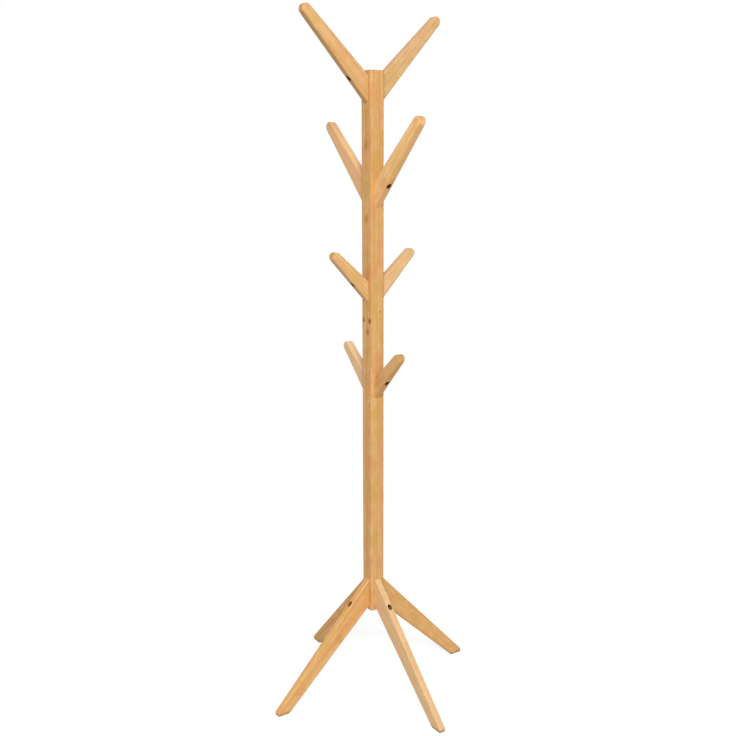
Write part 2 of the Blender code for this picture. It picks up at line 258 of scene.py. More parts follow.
class Graph:
    """Adds nodes to a tree. A node's inputs are numbers, colours, vectors or other nodes' outputs."""

    def __init__(self, tree):
        self.tree = tree
        self.tree.nodes.clear()

    def add(self, kind, inputs, **settings):
        node = self.tree.nodes.new(kind)
        for name, value in settings.items():
            setattr(node, name, value)
        for name, value in inputs.items():
            if isinstance(value, bpy.types.NodeSocket):
                self.tree.links.new(value, node.inputs[name])
            else:
                node.inputs[name].default_value = value
        return node

    def math(self, operation, *values):
        return self.add("ShaderNodeMath", dict(enumerate(values)), operation=operation).outputs[0]

    def vector(self, operation, *values):
        node = self.add("ShaderNodeVectorMath", dict(enumerate(values)), operation=operation)
        is_number = operation in ("LENGTH", "DISTANCE", "DOT_PRODUCT")
        return node.outputs["Value" if is_number else "Vector"]

    def scale(self, vector, factor):
        """A vector or colour times one number."""
        inputs = {0: vector, "Scale": factor}
        return self.add("ShaderNodeVectorMath", inputs, operation="SCALE").outputs[0]

    def noise(self, vector, scale, detail=2.0, roughness=0.5, output="Fac"):
        inputs = {"Vector": vector, "Scale": scale, "Detail": detail, "Roughness": roughness}
        return self.add("ShaderNodeTexNoise", inputs).outputs[output]

    def step(self, value, low, high, start=0.0, end=1.0):
        """Goes smoothly from start to end as value goes from low to high."""
        inputs = {"Value": value, "From Min": low, "From Max": high, "To Min": start, "To Max": end}
        node = self.add("ShaderNodeMapRange", inputs, interpolation_type="SMOOTHSTEP")
        return node.outputs["Result"]

    def blend(self, mode, factor, first, second):
        inputs = {0: factor, 6: first, 7: second}
        return self.add("ShaderNodeMix", inputs, data_type="RGBA", blend_type=mode).outputs[2]

    def finish(self, **inputs):
        """Ends the graph in a Principled shader with these inputs."""
        named = {name.replace("_", " "): value for name, value in inputs.items()}
        shader = self.add("ShaderNodeBsdfPrincipled", named)
        self.add("ShaderNodeOutputMaterial", {"Surface": shader.outputs[0]})


def new_material(name):
    """An empty material, and the graph to fill it."""
    material = bpy.data.materials.new(name)
    material.use_nodes = True
    return material, Graph(material.node_tree)


# ------------------------------------------------------------------ pine


def pattern(graph, grain, kind, output="Fac"):
    """Noise over the wood, drawn out along the grain."""
    scale, share, detail, roughness = kind
    drawn_out = graph.vector("MULTIPLY", grain, (1.0, 1.0, share))
    return graph.noise(drawn_out, scale, detail, roughness, output)


def knot_fields(graph, point, trunk, knots):
    """Bends the rings round each knot. Returns their field, how far inside a knot a point is, how near its
    rim and its core, and how near the knot at all. A knot is a branch: its axis runs out and up from the
    pith, and it widens as it goes."""
    field, inside, rim, core, near = trunk, 0.0, 0.0, 0.0, 0.0
    faint, gain = HALO_STRENGTHS
    lumps = graph.noise(point, KNOT_LUMPS)
    uneven = graph.math("MULTIPLY_ADD", lumps, KNOT_LUMPINESS, 1.0 - KNOT_LUMPINESS / 2)
    for knot in knots:
        local = graph.vector("SUBTRACT", point, (0.0, 0.0, knot["start"]))
        local = graph.vector("MULTIPLY", local, (1.0, 1.0, KNOT_SQUEEZE))
        from_axis = graph.vector("DISTANCE", local, graph.vector("PROJECT", local, knot["axis"]))
        branch = graph.math("MULTIPLY", graph.math("MULTIPLY", from_axis, knot["ratio"]), uneven)
        depth = graph.math("SUBTRACT", trunk, branch)
        strength, reach = knot["strength"], knot["reach"]
        soft = reach * (KNOT_BLUR - KNOT_CRISPNESS * strength)
        from_rim = graph.math("ABSOLUTE", depth)
        inside = graph.math("MAXIMUM", inside, graph.step(depth, -soft, soft, 0.0, strength))
        rim = graph.math("MAXIMUM", rim, graph.step(from_rim, 0.0, soft, strength ** 3, 0.0))
        core = graph.math("MAXIMUM", core, graph.step(depth, reach * KNOT_CORE, reach, 0.0, strength))
        halo = graph.step(depth, -reach * KNOT_HALO, 0.0, 0.0, faint + gain * strength)
        near = graph.math("MAXIMUM", near, halo)
        field = graph.math("SMOOTH_MIN", field, branch, reach * KNOT_PULL)
    return field, inside, rim, core, near


def knot_colour(graph, colour, late, inside, rim, core, near):
    """Darker wood round a knot, a brown heart in it, and a dark rim and core."""
    colour = graph.blend("MIX", graph.math("MULTIPLY", near, HALO_SHARE), colour, HALO_WOOD)
    heart = graph.blend("MIX", graph.math("MULTIPLY", late, KNOT_RING_SHARE), KNOT_HEART, KNOT_RIM)
    colour = graph.blend("MIX", graph.math("MULTIPLY", inside, KNOT_SHARE), colour, heart)
    rim, core = graph.math("MULTIPLY", rim, RIM_SHARE), graph.math("MULTIPLY", core, CORE_SHARE)
    return graph.blend("MIX", graph.math("MAXIMUM", rim, core), colour, KNOT_RIM)


def year_rings(graph, grain, field):
    """How far a point is from spring wood towards summer wood: it darkens slowly, then starts pale again."""
    shifts, strengths = pattern(graph, grain, RING_SHIFTS), pattern(graph, grain, RING_STRENGTHS)
    phase = graph.math("MULTIPLY_ADD", shifts, RING_SHIFT, graph.math("DIVIDE", field, RING_SPACING))
    ring = graph.math("FRACT", phase)
    late = graph.math("MULTIPLY", graph.math("POWER", ring, 2.0), graph.step(ring, RING_EDGE, 1.0, 1.0, 0.0))
    return graph.math("MULTIPLY", late, graph.step(strengths, *RING_RANGE, FAINTEST_RING, 1.0))


def timber_colour(graph, grain, trunk, late, fibres, timber):
    """Rings, streaks, warmer heartwood near the pith, and patches of warm and of golden wood."""
    streaks, patches = pattern(graph, grain, STREAKS), pattern(graph, grain, PATCHES)
    heart, pale, tone = timber["heart"], timber["pale"], timber["tone"]
    layers = [
        (graph.step(streaks, *STREAK_RANGE), MID_WOOD),
        (graph.step(patches, *WARM_RANGE), WARM_WOOD),
        (graph.step(patches, *GOLD_RANGE), GOLD_WOOD),
        (graph.step(trunk, heart, heart * HEART_FADE, 0.0, HEART_SHARE), WARM_WOOD),
        (graph.math("MULTIPLY", late, LATE_SHARE), LATE_WOOD),
    ]
    if pale:
        layers.append((graph.step(patches, *PALE_RANGE, PALE_LEAST * pale, pale), PALE_WOOD))
    colour = EARLY_WOOD
    for share, tint in layers:
        colour = graph.blend("MIX", share, colour, tint)
    dim, bright = FIBRE_TONES
    return graph.scale(colour, graph.step(fibres, *FIBRE_RANGE, dim * tone, bright * tone))


def weathered_and_shaded(graph, grain, colour, timber):
    """Adds what use and tools did to the wood, and painted shade in its holes and near the floor. Returns its
    colour, and how dull each place is.
    """
    # Ends take up more lacquer: darker, and less glossy
    surface = graph.add("ShaderNodeNewGeometry", {})
    normal = surface.outputs["Normal"]
    facing = graph.math("ABSOLUTE", graph.vector("DOT_PRODUCT", normal, timber["along"]))
    ends = graph.step(facing, *END_RANGE)
    colour = graph.blend("MIX", graph.math("MULTIPLY", ends, END_SHARE), colour, END_WOOD)

    # Rounded edges are handled and rubbed through in places, and the lowest part of the feet is painted
    # darker in patches: painted shade near the floor
    side = graph.math("POWER", graph.vector("DOT_PRODUCT", normal, timber["across"]), 2.0)
    corner = graph.math("MULTIPLY", side, graph.math("SUBTRACT", 1.0, side))
    rubbed = pattern(graph, grain, RUBBING)
    wear = graph.math("MULTIPLY", graph.step(corner, *EDGE_RANGE), graph.step(rubbed, *RUBBED_RANGE))
    colour = graph.blend("MULTIPLY", graph.math("MULTIPLY", wear, RUBBED_SHARE), colour, EDGE_TINT)
    height = graph.add("ShaderNodeSeparateXYZ", {0: surface.outputs["Position"]}).outputs["Z"]
    low, foot_shade = graph.step(height, FOOT_SHADE_HEIGHT, 0.0), graph.step(rubbed, *FOOT_SHADE_RANGE)
    colour = graph.blend("MULTIPLY", graph.math("MULTIPLY", low, foot_shade), colour, FOOT_SHADE_TINT)

    # Drilled holes are raw wood, and their walls are painted darker: painted shade inside the holes
    bored = graph.add("ShaderNodeAttribute", {}, attribute_name="bored").outputs["Fac"]
    colour = graph.blend("MIX", graph.math("MULTIPLY", bored, RAW_SHADED_BORE_SHARE), colour, RAW_SHADED_BORE_WOOD)
    return colour, graph.math("MAXIMUM", wear, ends)


def pine(name, timber):
    """Clear-lacquered knotty pine, from the grain coordinates that each piece's mesh carries: x and y run
    across the log from its pith and z along it, in metres."""
    material, graph = new_material(name)
    grain = graph.add("ShaderNodeAttribute", {}, attribute_name="grain").outputs["Vector"]
    drift = graph.vector("SUBTRACT", pattern(graph, grain, BENDS, "Color"), (0.5, 0.5, 0.5))
    point = graph.vector("ADD", grain, graph.scale(drift, timber["waviness"]))
    trunk = graph.vector("LENGTH", graph.vector("MULTIPLY", point, (1.0, 1.0, 0.0)))
    field, knots = trunk, None
    if timber["knots"]:
        field, *knots = knot_fields(graph, point, trunk, timber["knots"])
    late = year_rings(graph, grain, field)
    fibres = pattern(graph, grain, FIBRES)
    colour = timber_colour(graph, grain, trunk, late, fibres, timber)
    if knots:
        colour = knot_colour(graph, colour, late, *knots)
    colour, dull = weathered_and_shaded(graph, grain, colour, timber)

    relief = graph.math("MULTIPLY_ADD", late, 0.5, graph.math("MULTIPLY", fibres, 0.5))
    bump = graph.add("ShaderNodeBump", {"Strength": WOOD_RELIEF, "Distance": PORE_DEPTH, "Height": relief})
    rough = graph.math("MULTIPLY_ADD", fibres, FIBRE_ROUGHNESS, WOOD_ROUGHNESS)
    rough = graph.math("MULTIPLY_ADD", dull, DULL_ROUGHNESS, rough)
    graph.finish(Base_Color=colour, Roughness=rough, Normal=bump.outputs["Normal"], **LACQUER)
    return material


# ------------------------------------------------------------------ metal and beech


def metal(name, shades, metallic, gloss, fineness):
    """Metal with a fine-worked surface. Its colour goes from one shade to the other, and its roughness from
    one number to the other."""
    material, graph = new_material(name)
    place = graph.add("ShaderNodeNewGeometry", {}).outputs["Position"]
    blotches = graph.noise(place, fineness, *FINE_NOISE)
    drawn_out = graph.vector("MULTIPLY", place, (1.0, 1.0, SCRATCH_SQUEEZE))
    scratches = graph.noise(drawn_out, fineness * SCRATCH_FINENESS)
    colour = graph.blend("MIX", graph.step(blotches, *BLOTCH_RANGE), *shades)
    bump = graph.add("ShaderNodeBump", {
        "Strength": METAL_RELIEF, "Distance": SCRATCH_DEPTH, "Height": scratches})
    dull = graph.math("ADD", blotches, graph.math("MULTIPLY", scratches, SCRATCH_SHARE))
    rough = graph.step(dull, *DULL_RANGE, *gloss)
    graph.finish(Base_Color=colour, Metallic=metallic, Roughness=rough, Normal=bump.outputs["Normal"])
    return material


def beech(name):
    """Dowel beech: pinkish, even, with short dark flecks."""
    material, graph = new_material(name)
    place = graph.add("ShaderNodeNewGeometry", {}).outputs["Position"]
    fine = graph.noise(place, BEECH_FINENESS, *FINE_NOISE)
    flecks = graph.add("ShaderNodeTexVoronoi", {"Vector": place, "Scale": BEECH_FLECKING}).outputs["Distance"]
    colour = graph.blend("MIX", fine, *BEECH)
    colour = graph.blend("MIX", graph.step(flecks, *FLECK_RANGE), colour, BEECH_FLECKS)
    bump = graph.add("ShaderNodeBump", {"Strength": WOOD_RELIEF, "Distance": PORE_DEPTH / 2, "Height": fine})
    rough = graph.step(fine, *BEECH_ROUGHNESS)
    graph.finish(Base_Color=colour, Roughness=rough, Normal=bump.outputs["Normal"])
    return material


# ------------------------------------------------------------------ meshes


UPRIGHT = Matrix.Rotation(-math.pi / 2, 4, "Y")


def face_of(node):
    return node.rsplit("_", 1)[1]


def face_matrix(face):
    """Takes (out, side, up) at one face of the post to the object's frame."""
    return Matrix.Rotation(math.radians(FACE_TURNS[face]), 4, "Z")


def node_points(node, face):
    """The CAD node's vertices as (out, side, up) at that face."""
    back = face_matrix(face).inverted()
    return [back @ vertex.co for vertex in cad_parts[node].data.vertices]


def fixing(node, face):
    """A bolt's, insert's or dowel's height, its inner and outer end, and its widest radius, at its face."""
    points = node_points(node, face)
    outs, ups = [point.x for point in points], [point.z for point in points]
    return (min(ups) + max(ups)) / 2, min(outs), max(outs), (max(ups) - min(ups)) / 2


def new_mesh(name, vertices, faces):
    """A closed mesh facing out. Whatever is left open is capped."""
    mesh = bpy.data.meshes.new(name)
    mesh.from_pydata(vertices, [], faces)
    shape = bmesh.new()
    shape.from_mesh(mesh)
    bmesh.ops.holes_fill(shape, edges=[edge for edge in shape.edges if edge.is_boundary], sides=0)
    bmesh.ops.recalc_face_normals(shape, faces=shape.faces)
    shape.to_mesh(mesh)
    shape.free()
    return mesh


def new_piece(name, mesh):
    piece = bpy.data.objects.new(name, mesh)
    bpy.context.scene.collection.objects.link(piece)
    return piece


def tube_faces(rings, size, closed=False):
    """The quads between rings of as many points each. If closed, the last ring joins the first."""
    faces = []
    for ring in range(rings if closed else rings - 1):
        base, above = ring * size, (ring + 1) % rings * size
        for step in range(size):
            beside = (step + 1) % size
            faces.append((base + step, base + beside, above + beside, above + step))
    return faces


def turned_mesh(name, profile, segments, relief=None, hollow=False):
    """A solid turned about the out axis from (out, radius) pairs. relief says how much less a radius is, from
    its pair, its angle and its number round the turn. A hollow solid's profile runs back along its bore."""
    vertices = []
    for out, radius in profile:
        for step in range(segments):
            angle = 2 * math.pi * step / segments
            reach = radius - relief(out, radius, angle, step) if relief else radius
            vertices.append((out, reach * math.cos(angle), reach * math.sin(angle)))
    return new_mesh(name, vertices, tube_faces(len(profile), segments, hollow))


def cut(piece, drills):
    """Takes turned holes, each a profile and its matrix, out of a piece in one go."""
    joined = bmesh.new()
    for profile, matrix in drills:
        drill = turned_mesh("drill", profile, BORE_SEGMENTS)
        drill.transform(matrix)
        joined.from_mesh(drill)
        bpy.data.meshes.remove(drill)
    for wall in joined.faces:
        wall.material_index = 1
    cutter = new_piece("cutter", bpy.data.meshes.new("cutter"))
    joined.to_mesh(cutter.data)
    joined.free()
    for part in (piece, cutter):
        part.data.materials.append(None)
        part.data.materials.append(None)
    subtract(piece, cutter)


def subtract(piece, cutter):
    """Takes the cutter's shape out of the piece. The cutter goes."""
    boolean = piece.modifiers.new("cut", "BOOLEAN")
    boolean.operation, boolean.solver, boolean.object = "DIFFERENCE", "EXACT", cutter
    bpy.context.view_layer.update()
    mesh = bpy.data.meshes.new_from_object(piece.evaluated_get(bpy.context.evaluated_depsgraph_get()))
    piece.modifiers.clear()
    piece.data = mesh
    bpy.data.objects.remove(cutter)


def shade(mesh):
    """Smooth over the rounding, crisp where a cut meets a face."""
    mesh.shade_smooth()
    mesh.set_sharp_from_angle(angle=SHARP_ANGLE)


def plane_by_hand(mesh, seed, fade):
    """Sinks the surface by the shallow waves that planing and sanding leave. fade(point) is their share."""
    offset = Vector((seed, 0.0, 0.0))
    for vertex in mesh.vertices:
        wave = 0.5 + 0.5 * noise.noise(vertex.co / PLANE_WAVE + offset)
        vertex.co -= vertex.normal * PLANE_DEPTH * wave * fade(vertex.co)


def sanded(radius, place, seed):
    """An edge's rounding at one place: a hand makes it a little uneven, and only ever takes wood off."""
    return radius * (1.0 + EDGE_VARIATION * abs(noise.noise(Vector((place / EDGE_WAVE, seed, 0.0)))))


# ------------------------------------------------------------------ boards


def cut_corners(path):
    """The same outline with every corner between its ends cut, so that its arcs read as round."""
    eased = [path[0]]
    for before, here, after in zip(path, path[1:], path[2:]):
        back, on = before - here, after - here
        reach = min(back.length, on.length) / 4
        eased += [here + back.normalized() * reach, here + on.normalized() * reach]
    return [*eased, path[-1]]


def outline_of(points):
    """A board's outline in (out, up): from its lower root corner round its tip or foot to its upper one."""
    flat = [Vector((point.x, point.z)) for point in points]
    hull = [flat[index] for index in geometry.convex_hull_2d(flat)]
    root = min(point.x for point in hull)
    corners = sorted((point for point in hull if point.x < root + SAME_PLANE), key=lambda point: point.y)
    middle = (corners[0] + corners[-1]) / 2
    rest = [point for point in hull if point.x >= root + SAME_PLANE]
    rest.sort(key=lambda point: math.atan2(point.y - middle.y, point.x - middle.x))
    path = [corners[0], *rest, corners[-1]]
    kept = [path[0]]
    for here, after in zip(path[1:], path[2:]):
        if (here - kept[-1]).angle(after - here, 0.0) > STRAIGHT:
            kept.append(here)
    kept.append(path[-1])
    for corner, beside in ((0, 1), (-1, -2)):
        slope = kept[corner] - kept[beside]
        kept[corner] += slope * (ROOT_REACH / abs(slope.x))
    return cut_corners(cut_corners(kept))


def even_chains(path):
    """The same outline with as many points before its far end as after, and its long edges divided."""
    middle = (path[0] + path[-1]) / 2
    far = max(range(len(path)), key=lambda index: (path[index] - middle).length)
    chains = [path[: far + 1], path[far:][::-1]]
    count = math.ceil((chains[0][1] - chains[0][0]).length / STATION) + max(map(len, chains))
    divided = []
    for chain in chains:
        parts = count - len(chain) + 1
        divided.append([chain[0].lerp(chain[1], part / parts) for part in range(parts)] + chain[1:])
    return divided[0] + divided[1][-2::-1]


def inward_moves(path):
    """How each point moves for every metre that the outline is drawn in. The root stays in its plane."""
    normals = []
    for start, end in zip(path, path[1:]):
        along = (end - start).normalized()
        normals.append(Vector((-along.y, along.x)))
    moves = [(before + after) / (1.0 + before.dot(after)) for before, after in zip(normals, normals[1:])]
    return [Vector((0.0, 1.0 / normals[0].y)), *moves, Vector((0.0, 1.0 / normals[-1].y))]


def edge_loops(path, thickness, seed):
    """Loops of points over a board's edge, from one broad face round to the other."""
    moves = inward_moves(path)
    radii = [sanded(BOARD_EDGE, point.x + point.y, seed) for point in path]
    angles = [math.pi / 2 * step / ROUND_STEPS for step in range(ROUND_STEPS + 1)]
    loops = []
    for sign, angle in [(-1, angle) for angle in reversed(angles)] + [(1, angle) for angle in angles]:
        loop = []
        for point, move, radius in zip(path, moves, radii):
            spot = point + move * radius * (1.0 - math.cos(angle))
            loop.append((spot.x, sign * (thickness / 2 - radius * (1.0 - math.sin(angle))), spot.y))
        loops.append(loop)
    return loops


def board_mesh(name, path, thickness, seed):
    """A board: its rounded edge as loops, and each broad face as a ladder from its root to its far end."""
    loops = edge_loops(path, thickness, seed)
    size = len(path)
    vertices = [Vector(point) for loop in loops for point in loop]
    faces = []
    for row in range(len(loops) - 1):
        for first in range(row * size, (row + 1) * size - 1):
            faces.append((first, first + 1, first + 1 + size, first + size))
    for base in (0, (len(loops) - 1) * size):
        rungs = []
        for station in range((size - 1) // 2):
            low, high = base + station, base + size - 1 - station
            inner = [vertices[low].lerp(vertices[high], share) for share in RUNGS[1:-1]]
            rungs.append([low, *range(len(vertices), len(vertices) + len(inner)), high])
            vertices += inner
        for near, far in zip(rungs, rungs[1:]):
            faces += [(a, b, d, c) for a, b, c, d in zip(near, near[1:], far, far[1:])]
        faces += [(a, b, base + (size - 1) // 2) for a, b in zip(rungs[-1], rungs[-1][1:])]
    return new_mesh(name, vertices, faces)


def ease_mouth(mesh, height, seat):
    """Breaks the sharp edge where a counterbore comes out of the board. The mesh is still at its face."""
    shape = bmesh.new()
    shape.from_mesh(mesh)
    rim = []
    for edge in shape.edges:
        middle = (edge.verts[0].co + edge.verts[1].co) / 2
        from_axis = math.hypot(middle.y, middle.z - height)
        on_bore = abs(from_axis - COUNTERBORE_RADIUS) < BORE_SLACK and middle.x > seat + HEAD_CHAMFER
        if on_bore and edge.calc_face_angle(0.0) > SHARP_ANGLE:
            rim.append(edge)
    bmesh.ops.bevel(shape, geom=rim, offset=MOUTH_EASE, segments=2, affect="EDGES", clamp_overlap=True)
    shape.to_mesh(mesh)
    shape.free()


def build_board(node, wood, seed):
    """An arm or a leg, with the holes for its own bolt and dowel."""
    face = face_of(node)
    points = node_points(node, face)
    path, half = even_chains(outline_of(points)), max(point.y for point in points)
    root = path[0].x
    mesh = board_mesh("wood_" + node, path, 2 * half, seed)
    plane_by_hand(mesh, seed, lambda point: min(1.0, max(0.0, point.x - root) / END_FADE))
    piece = new_piece("wood_" + node, mesh)
    bolt_height, _, head, _ = fixing("bolt_" + node, face)
    dowel_height, inner, outer, radius = fixing("dowel_" + node, face)
    seat = head - HEAD_HEIGHT
    bolt_bore = [(root - BORE_RUN, CLEARANCE_RADIUS), (seat, CLEARANCE_RADIUS),
                 (seat, COUNTERBORE_RADIUS), (head + BORE_RUN, COUNTERBORE_RADIUS)]
    dowel_bore = [(inner, radius + BORE_SLACK), (outer + 2 * BORE_SLACK, radius + BORE_SLACK)]
    cut(piece, [(bolt_bore, Matrix.Translation((0.0, 0.0, bolt_height))),
                (dowel_bore, Matrix.Translation((0.0, 0.0, dowel_height)))])
    ease_mouth(piece.data, bolt_height, seat)
    turn = face_matrix(face)
    piece.data.transform(turn)

    base, tip = (path[0] + path[-1]) / 2, path[(len(path) - 1) // 2]
    base, tip = Vector((base.x, 0.0, base.y)), Vector((tip.x, 0.0, tip.y))
    along, across = (tip - base).normalized(), Vector((0.0, 1.0, 0.0))
    upward = along.cross(across) * -1.0
    knots = [(turn @ (base + along * run + upward * rise + across * half * side), size, strength)
             for side, run, rise, size, strength in wood["knots"]]
    dress(piece, node, turn @ base, turn @ along, turn @ across, wood, knots, BOARD_WAVINESS)


# ------------------------------------------------------------------ post


def post_levels(low, high, low_round, high_round):
    """The (height, inset) of each cross-section of a length of the post, its ends rounded over."""
    angles = [math.pi / 2 * step / ROUND_STEPS for step in range(ROUND_STEPS + 1)]
    bottom = [(low + low_round * (1 - math.sin(angle)), low_round * (1 - math.cos(angle)))
              for angle in reversed(angles)]
    top = [(high - high_round * (1 - math.sin(angle)), high_round * (1 - math.cos(angle)))
           for angle in angles]
    start, end = bottom[-1][0], top[0][0]
    count = round((end - start) / STATION)
    return bottom + [(start + (end - start) * part / count, 0.0) for part in range(1, count)] + top


def post_ring(half, corner, inset):
    """One cross-section: a rounded square, drawn in by the inset."""
    flat, reach = half - corner, corner - inset
    quarter = [Vector((half - inset, flat * (2 * share - 1))) for share in RUNGS]
    for step in range(1, ROUND_STEPS):
        angle = math.pi / 2 * step / ROUND_STEPS
        quarter.append(Vector((flat + reach * math.cos(angle), flat + reach * math.sin(angle))))
    turns = [Matrix.Rotation(math.pi / 2 * turn, 2) for turn in range(4)]
    return [turn @ point for turn in turns for point in quarter]


def post_drills(low, high):
    """The holes for the inserts and dowels in this length of the post."""
    drills = []
    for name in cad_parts:
        kind, middle = name.split("_")[0], sum(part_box(name), Vector()).z / 2
        if kind in ("insert", "dowel") and low < middle < high:
            face = face_of(name)
            height, inner, outer, radius = fixing(name, face)
            wide = radius + BORE_SLACK
            profile = [(inner - 2 * BORE_SLACK, wide), (outer + BORE_RUN, wide)]
            drills.append((profile, face_matrix(face) @ Matrix.Translation((0.0, 0.0, height))))
    return drills


def stud_drills(low, high):
    """The holes along the axis for the studs. A stud starts in one length of the post, and is screwed into an
    insert at the bottom of the next."""
    drills = []
    for level in ("lower", "upper"):
        stud_low, stud_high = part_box("stud_" + level)
        if stud_low.z > high or stud_high.z < low:
            continue
        stud, end = stud_high.x + BORE_SLACK, stud_high.z + BORE_SLACK
        profile = [(stud_low.z - BORE_SLACK, stud), (end, stud)]
        if stud_low.z < low:
            insert_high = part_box("stud_insert_" + level)[1]
            insert, top = insert_high.x + BORE_SLACK, insert_high.z + BORE_SLACK
            profile = [(low - BORE_RUN, insert), (top, insert), (top, stud), (end, stud)]
        drills.append((profile, UPRIGHT))
    return drills


def build_post(node, wood, seed):
    """One length of the post, with its holes."""
    corner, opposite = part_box(node)
    low = corner.z if node == "post_lower" else corner.z - JOINT_REACH
    high = opposite.z if node == "post_upper" else opposite.z + JOINT_REACH
    levels = post_levels(low, high, POST_END_ROUND if node == "post_lower" else JOINT_EASE,
                         POST_END_ROUND if node == "post_upper" else JOINT_EASE)
    half = opposite.x
    vertices = []
    for height, inset in levels:
        ring = post_ring(half, sanded(POST_CORNER, height, seed), inset)
        vertices += [(point.x, point.y, height) for point in ring]
    mesh = new_mesh("wood_" + node, vertices, tube_faces(len(levels), len(ring)))
    plane_by_hand(mesh, seed, lambda point: min(1.0, max(0.0, min(point.z - low, high - point.z)) / END_FADE))
    piece = new_piece("wood_" + node, mesh)
    cut(piece, post_drills(low, high) + stud_drills(low, high))
    knots = [(face_matrix(face) @ Vector((half, side, height)), size, strength)
             for face, side, height, size, strength in wood["knots"]
             if low - KNOT_MARGIN < height < high + KNOT_MARGIN]
    dress(piece, node, Vector(), Vector((0, 0, 1)), Vector((1, 0, 0)), wood, knots, POST_WAVINESS)


# ------------------------------------------------------------------ timber: how each piece was sawn


def grain_matrix(centre, along, across, pith, start):
    """Takes a point of the object to the log's own frame: x and y from the pith, z along the grain."""
    rows = Matrix((across.cross(along), across, along)).to_4x4()
    return Matrix.Translation((*pith, start)) @ rows @ Matrix.Translation(-centre)


def describe_knot(matrix, point, size, strength):
    """A knot as the pine material takes it, from where it meets a surface and its radius there."""
    spot = matrix @ point
    reach = math.hypot(spot.x, spot.y)
    axis = Vector((spot.x, spot.y, reach * KNOT_RISE * KNOT_SQUEEZE)).normalized()
    return {"start": spot.z - reach * KNOT_RISE, "axis": tuple(axis), "ratio": reach / size,
            "reach": reach, "strength": strength}


def dress(piece, node, centre, along, across, wood, knots, waviness):
    """Gives a wooden piece its grain and finish, and puts it in the frame for its CAD node."""
    matrix = grain_matrix(centre, along, across, wood["pith"], wood["start"])
    layer = piece.data.attributes.new("grain", "FLOAT_VECTOR", "POINT")
    for vertex, value in zip(piece.data.vertices, layer.data):
        value.vector = matrix @ vertex.co
    # which faces are bore walls, that the pine material paints darker as shade inside the holes
    layer = piece.data.attributes.new("bored", "FLOAT", "FACE")
    for polygon, value in zip(piece.data.polygons, layer.data):
        value.value, polygon.material_index = float(polygon.material_index), 0
    knots = [describe_knot(matrix, *knot) for knot in knots]
    timber = {**wood, "along": tuple(along), "across": tuple(across), "waviness": waviness, "knots": knots}
    piece.data.materials.clear()
    piece.data.materials.append(pine("pine_" + node, timber))
    shade(piece.data)
    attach(piece, "root")
    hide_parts(node)


# Tone, paleness, the heartwood's radius, where the pith lies (across the piece, and through its thickness),
# and the knots that show. The lengths of the post were sawn from one timber, so their grain runs on. A
# post's knot is face, side, height, radius and strength; a board's is broad face (1 or -1), distance from
# its root, distance above its middle, radius and strength.
POST_WOOD = {"tone": 0.93, "pale": 0.0, "heart": 0.060, "pith": (0.020, -0.052), "start": 0.0, "knots": [
    ("left", 0.001, 1.4375, 0.008, 0.3), ("left", 0.002, 1.262, 0.007, 0.3),
    ("left", -0.011, 1.0082, 0.0036, 0.9), ("left", 0.0150, 1.007, 0.0044, 0.9),
    ("left", 0.0055, 0.9785, 0.0052, 0.6), ("front", 0.009, 1.028, 0.0016, 0.5),
]}
BOARD_WOODS = {
    "arm_1_left": {"tone": 0.93, "pale": 0.08},
    "arm_1_right": {"tone": 0.89, "pale": 0.2},
    "arm_2_back": {"tone": 1.06, "pale": 0.25},
    "arm_2_front": {"tone": 1.19, "pale": 0.1, "pith": (0.014, 0.045),
                    "knots": [(-1, 0.045, 0.004, 0.009, 0.1)]},
    "arm_3_left": {"tone": 0.98, "pale": 0.1},
    "arm_3_right": {"tone": 0.98, "pale": 0.3},
    "arm_4_back": {"tone": 0.98, "pale": 0.5},
    "arm_4_front": {"tone": 0.97, "pith": (-0.012, 0.04), "knots": [(-1, 0.028, -0.004, 0.010, 0.12)]},
    "leg_front": {"pale": 0.36},
    "leg_left": {"tone": 1.05, "pith": (0.016, -0.05), "knots": [(1, 0.142, 0.006, 0.009, 0.12)]},
}


# ------------------------------------------------------------------ fixings


def fitting(name):
    """A fixing's place, with its inner or lower end at the origin and its axis along x; its length; its
    radius."""
    if name.startswith("stud"):
        low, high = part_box(name)
        return Matrix.Translation((0.0, 0.0, low.z)) @ UPRIGHT, high.z - low.z, high.x
    face = face_of(name)
    height, inner, outer, radius = fixing(name, face)
    return face_matrix(face) @ Matrix.Translation((inner, 0.0, height)), outer - inner, radius


def screwed(start, end, radius, pitch):
    """(out, radius) pairs close enough together to carry a screw thread."""
    steps = round((end - start) / pitch * THREAD_STEPS)
    return [(start + (end - start) * step / steps, radius) for step in range(steps + 1)]


def thread(out, angle, pitch):
    """The share of a screw thread's depth that is cut away at one point."""
    phase = (out / pitch - angle / (2 * math.pi)) % 1.0
    return abs(2.0 * phase - 1.0)


def bolt_mesh(length, radius):
    """A socket bolt: threaded shank, knurled head, and a hexagonal socket with a drilled point."""
    seat, bevel = length - HEAD_HEIGHT, HEAD_CHAMFER
    shank = screwed(SHANK_RADIUS - SHANK_TIP, THREAD_LENGTH, SHANK_RADIUS, BOLT_PITCH)
    head = [(seat, SHANK_RADIUS), (seat, radius - bevel / 2), (seat + bevel / 2, radius),
            (length - bevel, radius), (length, radius - bevel)]

    def relief(out, reach, angle, step):
        if reach == SHANK_RADIUS and out <= THREAD_LENGTH:
            return THREAD_DEPTH * thread(out, angle, BOLT_PITCH)
        return KNURL_DEPTH * (step % 2) if reach == radius else 0.0

    profile = [(0.0, SHANK_TIP), *shank, *head]
    bolt = new_piece("bolt", turned_mesh("socket_bolt", profile, HEAD_FACETS, relief))
    deep = length - HEX_DEPTH
    socket = [(deep - POINT_DEPTH, POINT_TIP), (deep, POINT_RIM), (deep, HEX_RADIUS),
              (length + HEAD_HEIGHT, HEX_RADIUS)]
    subtract(bolt, new_piece("socket", turned_mesh("socket", socket, HEX_SIDES)))
    mesh = bolt.data
    bpy.data.objects.remove(bolt)
    return mesh


